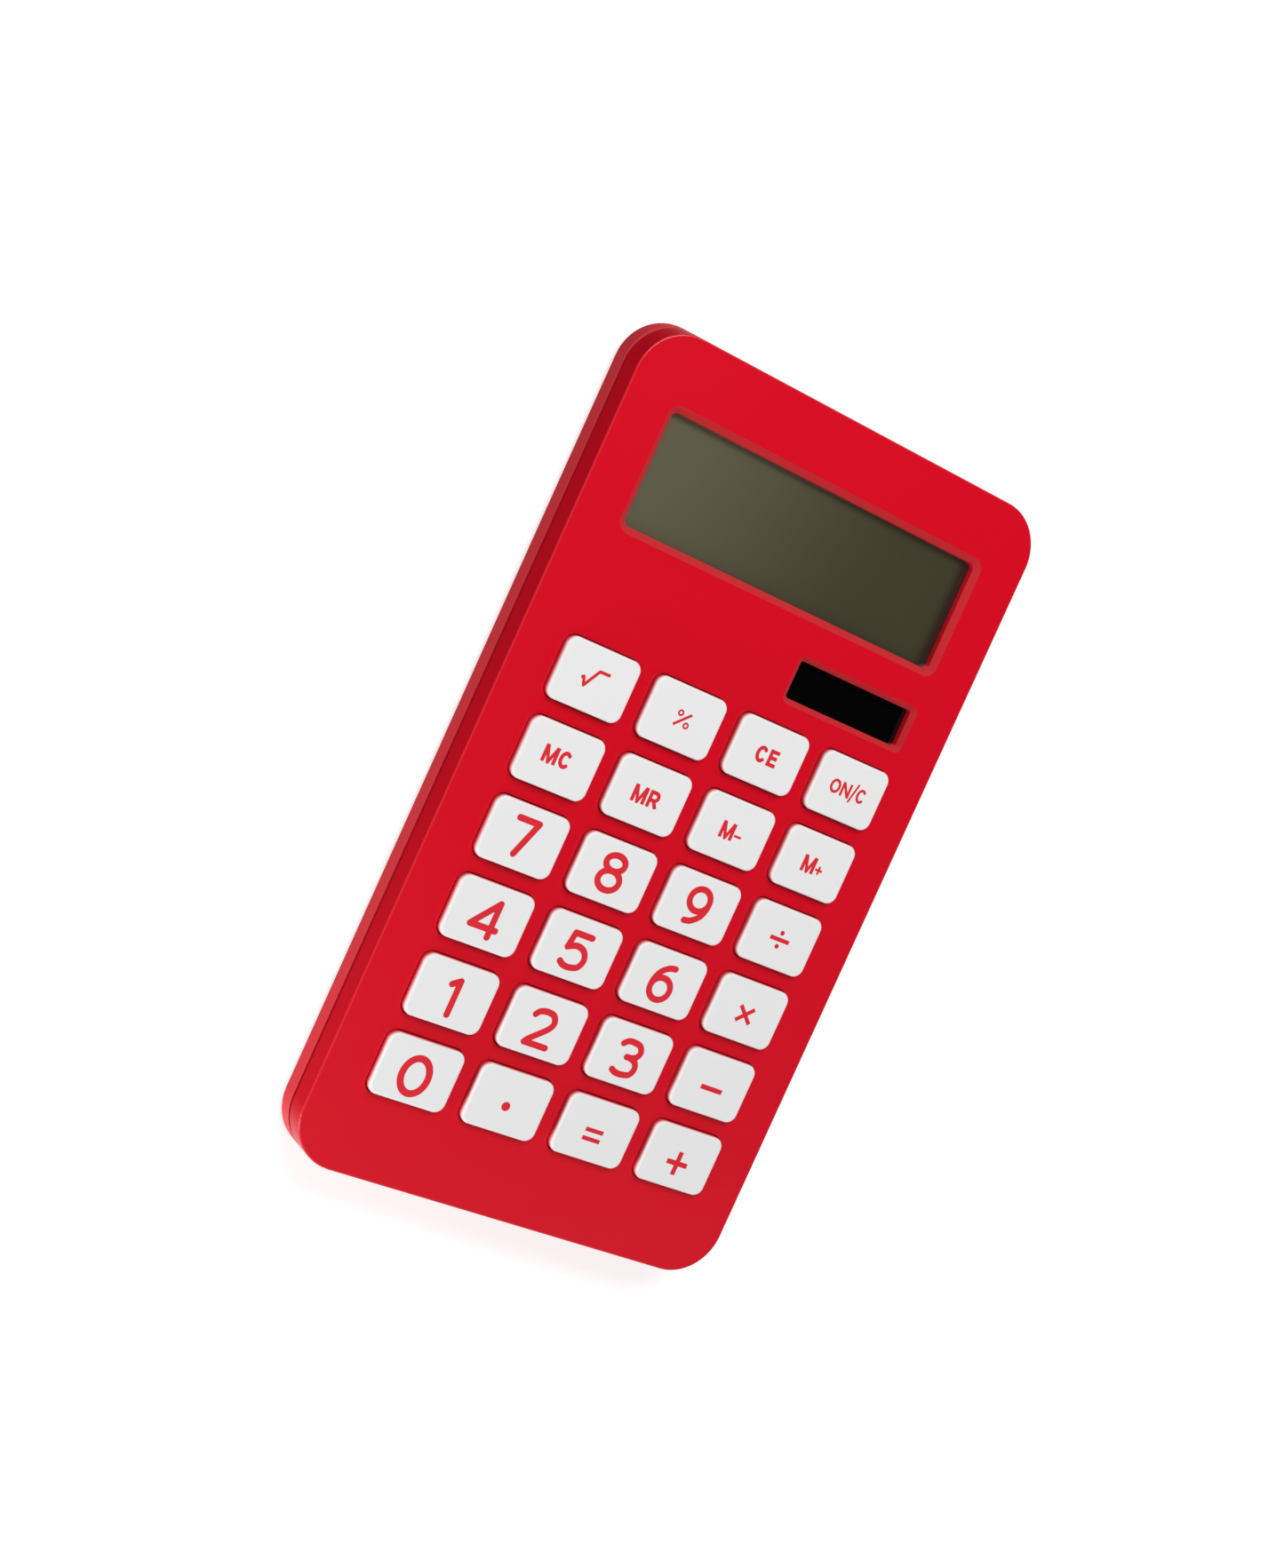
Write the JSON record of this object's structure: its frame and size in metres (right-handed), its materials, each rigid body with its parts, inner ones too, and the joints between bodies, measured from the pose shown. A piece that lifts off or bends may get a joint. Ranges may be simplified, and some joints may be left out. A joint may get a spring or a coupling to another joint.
{
  "type": "desk calculator",
  "caption": "Slim calculator with rounded corners, sprung keys in a grid, a recessed display and a recessed solar cell.",
  "frame": {"origin": "centre of the footprint, on the plane the rubber feet stand on", "axes": "+X to the right of the keypad, +Y from the keypad towards the display, +Z out of the face"},
  "size_m": [0.085, 0.1488, 0.0123],
  "materials": {
    "red_plastic": "moulded ABS, light gloss",
    "key_white": "moulded ABS, satin",
    "key_ink": "pad-printed ink",
    "board": "solder-masked laminate",
    "copper_carbon": "printed carbon over copper",
    "silicone": "moulded silicone",
    "carbon_rubber": "conductive rubber",
    "screw_steel": "zinc plated",
    "natural_plastic": "natural ABS",
    "solar_glass": "black amorphous cell on glass",
    "wire_insulation": "PVC",
    "black_resin": "potting resin",
    "capacitor_body": "moulded block",
    "cell_steel": "nickel plated",
    "foot_rubber": "matt",
    "lcd_film": "polarising film, smoky olive",
    "lcd_glass": "clear glass",
    "lcd_reflector": "silver-grey film",
    "spring_steel": "nickel plated spring steel"
  },
  "bodies": {
    "case": {"front_housing": "red_plastic", "rear_housing": "red_plastic", "circuit_board": "board", "board_key_pads": "copper_carbon", "rubber_keypad": "silicone", "contact_pills": "carbon_rubber", "board_screws": "screw_steel", "case_screws": "screw_steel", "lcd_holder": "natural_plastic", "lcd_connector_strip": "carbon_rubber", "solar_cell": "solar_glass", "solar_wires": "wire_insulation", "chip_cover": "black_resin", "board_capacitor": "capacitor_body", "board_resistors": "black_resin", "battery_cell": "cell_steel", "foot_front_left": "foot_rubber", "foot_front_right": "foot_rubber", "foot_rear_left": "foot_rubber", "foot_rear_right": "foot_rubber", "lcd_polariser": "lcd_film", "lcd_front_glass": "lcd_glass", "lcd_rear_glass": "lcd_glass", "lcd_reflector": "lcd_reflector", "battery_contact_leaf": "spring_steel", "battery_contact_clip": "spring_steel"},
    "key_square_root": {"key_square_root": "key_white"},
    "key_percent": {"key_percent": "key_white"},
    "key_clear_entry": {"key_clear_entry": "key_white"},
    "key_on_clear": {"key_on_clear": "key_white"},
    "key_memory_clear": {"key_memory_clear": "key_white"},
    "key_memory_recall": {"key_memory_recall": "key_white"},
    "key_memory_minus": {"key_memory_minus": "key_white"},
    "key_memory_plus": {"key_memory_plus": "key_white"},
    "key_7": {"key_7": "key_white"},
    "key_8": {"key_8": "key_white"},
    "key_9": {"key_9": "key_white"},
    "key_divide": {"key_divide": "key_white"},
    "key_4": {"key_4": "key_white"},
    "key_5": {"key_5": "key_white"},
    "key_6": {"key_6": "key_white"},
    "key_multiply": {"key_multiply": "key_white"},
    "key_1": {"key_1": "key_white"},
    "key_2": {"key_2": "key_white"},
    "key_3": {"key_3": "key_white"},
    "key_minus": {"key_minus": "key_white"},
    "key_0": {"key_0": "key_white"},
    "key_decimal": {"key_decimal": "key_white"},
    "key_equals": {"key_equals": "key_white"},
    "key_plus": {"key_plus": "key_white"},
    "battery_door": {"battery_door": "red_plastic"}
  },
  "joints": [
    {"name": "key_square_root_press", "type": "slide", "parent": "case", "child": "key_square_root", "axis": [0, 0, -1], "range_m": [0, 0.0009], "stiffness_N_per_m": 400, "deforming": ["rubber_keypad"]},
    {"name": "key_percent_press", "type": "slide", "parent": "case", "child": "key_percent", "axis": [0, 0, -1], "range_m": [0, 0.0009], "stiffness_N_per_m": 400, "deforming": ["rubber_keypad"]},
    {"name": "key_clear_entry_press", "type": "slide", "parent": "case", "child": "key_clear_entry", "axis": [0, 0, -1], "range_m": [0, 0.0009], "stiffness_N_per_m": 400, "deforming": ["rubber_keypad"]},
    {"name": "key_on_clear_press", "type": "slide", "parent": "case", "child": "key_on_clear", "axis": [0, 0, -1], "range_m": [0, 0.0009], "stiffness_N_per_m": 400, "deforming": ["rubber_keypad"]},
    {"name": "key_memory_clear_press", "type": "slide", "parent": "case", "child": "key_memory_clear", "axis": [0, 0, -1], "range_m": [0, 0.0009], "stiffness_N_per_m": 400, "deforming": ["rubber_keypad"]},
    {"name": "key_memory_recall_press", "type": "slide", "parent": "case", "child": "key_memory_recall", "axis": [0, 0, -1], "range_m": [0, 0.0009], "stiffness_N_per_m": 400, "deforming": ["rubber_keypad"]},
    {"name": "key_memory_minus_press", "type": "slide", "parent": "case", "child": "key_memory_minus", "axis": [0, 0, -1], "range_m": [0, 0.0009], "stiffness_N_per_m": 400, "deforming": ["rubber_keypad"]},
    {"name": "key_memory_plus_press", "type": "slide", "parent": "case", "child": "key_memory_plus", "axis": [0, 0, -1], "range_m": [0, 0.0009], "stiffness_N_per_m": 400, "deforming": ["rubber_keypad"]},
    {"name": "key_7_press", "type": "slide", "parent": "case", "child": "key_7", "axis": [0, 0, -1], "range_m": [0, 0.0009], "stiffness_N_per_m": 400, "deforming": ["rubber_keypad"]},
    {"name": "key_8_press", "type": "slide", "parent": "case", "child": "key_8", "axis": [0, 0, -1], "range_m": [0, 0.0009], "stiffness_N_per_m": 400, "deforming": ["rubber_keypad"]},
    {"name": "key_9_press", "type": "slide", "parent": "case", "child": "key_9", "axis": [0, 0, -1], "range_m": [0, 0.0009], "stiffness_N_per_m": 400, "deforming": ["rubber_keypad"]},
    {"name": "key_divide_press", "type": "slide", "parent": "case", "child": "key_divide", "axis": [0, 0, -1], "range_m": [0, 0.0009], "stiffness_N_per_m": 400, "deforming": ["rubber_keypad"]},
    {"name": "key_4_press", "type": "slide", "parent": "case", "child": "key_4", "axis": [0, 0, -1], "range_m": [0, 0.0009], "stiffness_N_per_m": 400, "deforming": ["rubber_keypad"]},
    {"name": "key_5_press", "type": "slide", "parent": "case", "child": "key_5", "axis": [0, 0, -1], "range_m": [0, 0.0009], "stiffness_N_per_m": 400, "deforming": ["rubber_keypad"]},
    {"name": "key_6_press", "type": "slide", "parent": "case", "child": "key_6", "axis": [0, 0, -1], "range_m": [0, 0.0009], "stiffness_N_per_m": 400, "deforming": ["rubber_keypad"]},
    {"name": "key_multiply_press", "type": "slide", "parent": "case", "child": "key_multiply", "axis": [0, 0, -1], "range_m": [0, 0.0009], "stiffness_N_per_m": 400, "deforming": ["rubber_keypad"]},
    {"name": "key_1_press", "type": "slide", "parent": "case", "child": "key_1", "axis": [0, 0, -1], "range_m": [0, 0.0009], "stiffness_N_per_m": 400, "deforming": ["rubber_keypad"]},
    {"name": "key_2_press", "type": "slide", "parent": "case", "child": "key_2", "axis": [0, 0, -1], "range_m": [0, 0.0009], "stiffness_N_per_m": 400, "deforming": ["rubber_keypad"]},
    {"name": "key_3_press", "type": "slide", "parent": "case", "child": "key_3", "axis": [0, 0, -1], "range_m": [0, 0.0009], "stiffness_N_per_m": 400, "deforming": ["rubber_keypad"]},
    {"name": "key_minus_press", "type": "slide", "parent": "case", "child": "key_minus", "axis": [0, 0, -1], "range_m": [0, 0.0009], "stiffness_N_per_m": 400, "deforming": ["rubber_keypad"]},
    {"name": "key_0_press", "type": "slide", "parent": "case", "child": "key_0", "axis": [0, 0, -1], "range_m": [0, 0.0009], "stiffness_N_per_m": 400, "deforming": ["rubber_keypad"]},
    {"name": "key_decimal_press", "type": "slide", "parent": "case", "child": "key_decimal", "axis": [0, 0, -1], "range_m": [0, 0.0009], "stiffness_N_per_m": 400, "deforming": ["rubber_keypad"]},
    {"name": "key_equals_press", "type": "slide", "parent": "case", "child": "key_equals", "axis": [0, 0, -1], "range_m": [0, 0.0009], "stiffness_N_per_m": 400, "deforming": ["rubber_keypad"]},
    {"name": "key_plus_press", "type": "slide", "parent": "case", "child": "key_plus", "axis": [0, 0, -1], "range_m": [0, 0.0009], "stiffness_N_per_m": 400, "deforming": ["rubber_keypad"]},
    {"name": "battery_door_hinge", "type": "hinge", "parent": "case", "child": "battery_door", "pos_m": [-0.018, 0.01893, 0.0006], "axis": [1, 0, 0], "range_deg": [-75, 0]}
  ]
}
